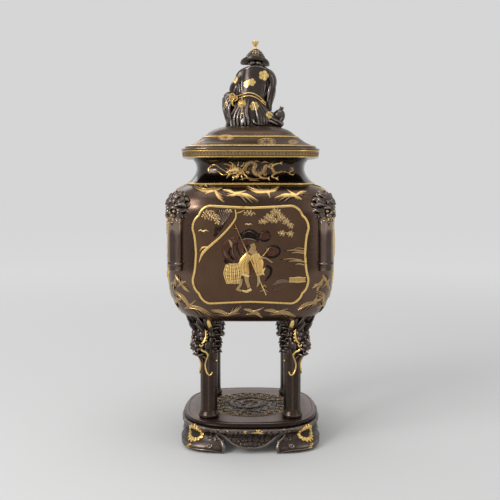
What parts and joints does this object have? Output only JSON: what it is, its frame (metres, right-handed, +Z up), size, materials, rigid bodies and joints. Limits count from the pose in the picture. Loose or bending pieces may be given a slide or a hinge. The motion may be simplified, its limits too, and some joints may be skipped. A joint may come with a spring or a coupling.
{
  "type": "bronze incense burner",
  "caption": "Rounded-square bronze incense burner on dragon-headed legs and a footed stand, with lion-mask handles and a lift-off lid with a seated figure.",
  "frame": {"origin": "on the floor, at the middle of the stand's four feet", "axes": "+Z up; the front, with the figured panel, faces -Y; +X is on the right of somebody facing the front"},
  "size_m": [0.2514, 0.2527, 0.6001],
  "materials": {
    "base_bronze": "brown patinated bronze with a soft polish",
    "leg_bronze": "grey-brown patinated bronze, polished on the shafts",
    "body_bronze": "chocolate-brown patinated bronze with gold inlay",
    "handle_bronze": "grey-brown patinated bronze, worn on the high points",
    "lid_bronze": "red-brown patinated bronze with gold rings",
    "figure_bronze": "dark grey-brown patinated bronze with gold trim",
    "gold_inlay": "gold inlay and gilding, softly worn"
  },
  "bodies": {
    "root": {"base": "base_bronze", "leg_front_left": "leg_bronze", "leg_front_right": "leg_bronze", "leg_back_left": "leg_bronze", "leg_back_right": "leg_bronze", "body": "body_bronze", "handle_front_left": "handle_bronze", "handle_front_right": "handle_bronze", "handle_back_left": "handle_bronze", "handle_back_right": "handle_bronze", "lid": "lid_bronze", "finial_figure": "figure_bronze"}
  },
  "joints": []
}
